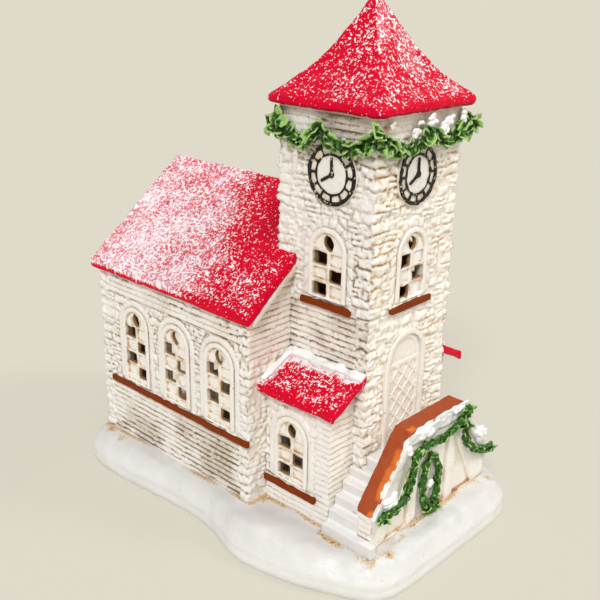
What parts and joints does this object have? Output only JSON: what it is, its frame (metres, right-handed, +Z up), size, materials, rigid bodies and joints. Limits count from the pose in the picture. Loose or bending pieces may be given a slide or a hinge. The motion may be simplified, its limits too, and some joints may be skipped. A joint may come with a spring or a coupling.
{
  "type": "ceramic christmas village house",
  "caption": "Glazed ceramic village hall with a square clock tower, red snowy roofs, garlands, a double stair and a snow base, lit by a slide-in battery tea light.",
  "frame": {"origin": "on the table, under the middle of the snow base", "axes": "+Z up; -Y is the front, with the door and stair; +Y is the back, with the tea light arch"},
  "size_m": [0.1264, 0.1721, 0.2105],
  "materials": {
    "cream_glaze": "glossy cream glaze with brown wash in the joints",
    "snow_glaze": "smooth glossy white glaze",
    "red_roof": "glossy red with white flock grains",
    "brown_paint": "glossy brown glaze",
    "green_paint": "glossy green glaze",
    "black_paint": "glossy black glaze line",
    "wax_plastic": "matt, wax-like",
    "flame_plastic": "translucent, frosted",
    "led_lens": "clear epoxy",
    "board": "green solder mask",
    "cell_metal": "brushed",
    "contact_metal": "bright",
    "switch_plastic": "moulded black"
  },
  "bodies": {
    "house": {"snow_base": "snow_glaze", "nave_walls": "cream_glaze", "nave_windows": "cream_glaze", "nave_sills": "brown_paint", "nave_roof": "red_roof", "bargeboards": "cream_glaze", "tower_walls": "cream_glaze", "tower_windows": "cream_glaze", "tower_sills": "brown_paint", "tower_roof": "red_roof", "tower_garland": "green_paint", "clock_dials": "cream_glaze", "clock_markings": "black_paint", "clock_hands": "black_paint", "door_leaf": "cream_glaze", "door_surround": "cream_glaze", "left_annex_walls": "cream_glaze", "left_annex_roof": "red_roof", "right_annex_walls": "cream_glaze", "right_annex_roof": "red_roof", "annex_windows": "cream_glaze", "annex_sills": "brown_paint", "annex_roof_snow": "snow_glaze", "landing": "snow_glaze", "left_steps": "snow_glaze", "right_steps": "snow_glaze", "stair_wall": "cream_glaze", "stair_coping": "brown_paint", "stair_snow": "snow_glaze", "stair_garland": "green_paint", "wreath": "green_paint"},
    "tea_light": {"candle_shell": "wax_plastic", "candle_tray": "wax_plastic", "candle_flame": "flame_plastic", "led": "led_lens", "circuit_board": "board", "coin_cell": "cell_metal", "battery_contacts": "contact_metal"},
    "cell_cover": {"battery_cover": "wax_plastic"},
    "switch": {"switch_slider": "switch_plastic"}
  },
  "joints": [
    {"name": "tea_light_slide", "type": "slide", "parent": "house", "child": "tea_light", "axis": [0, 1, 0], "range_m": [0, 0.067]},
    {"name": "cover_twist", "type": "hinge", "parent": "tea_light", "child": "cell_cover", "pos_m": [0, 0.04097, 0.015], "axis": [0, 0, 1], "range_deg": [0, 45]},
    {"name": "switch_slide", "type": "slide", "parent": "tea_light", "child": "switch", "axis": [1, 0, 0], "range_m": [0, 0.0024]}
  ]
}
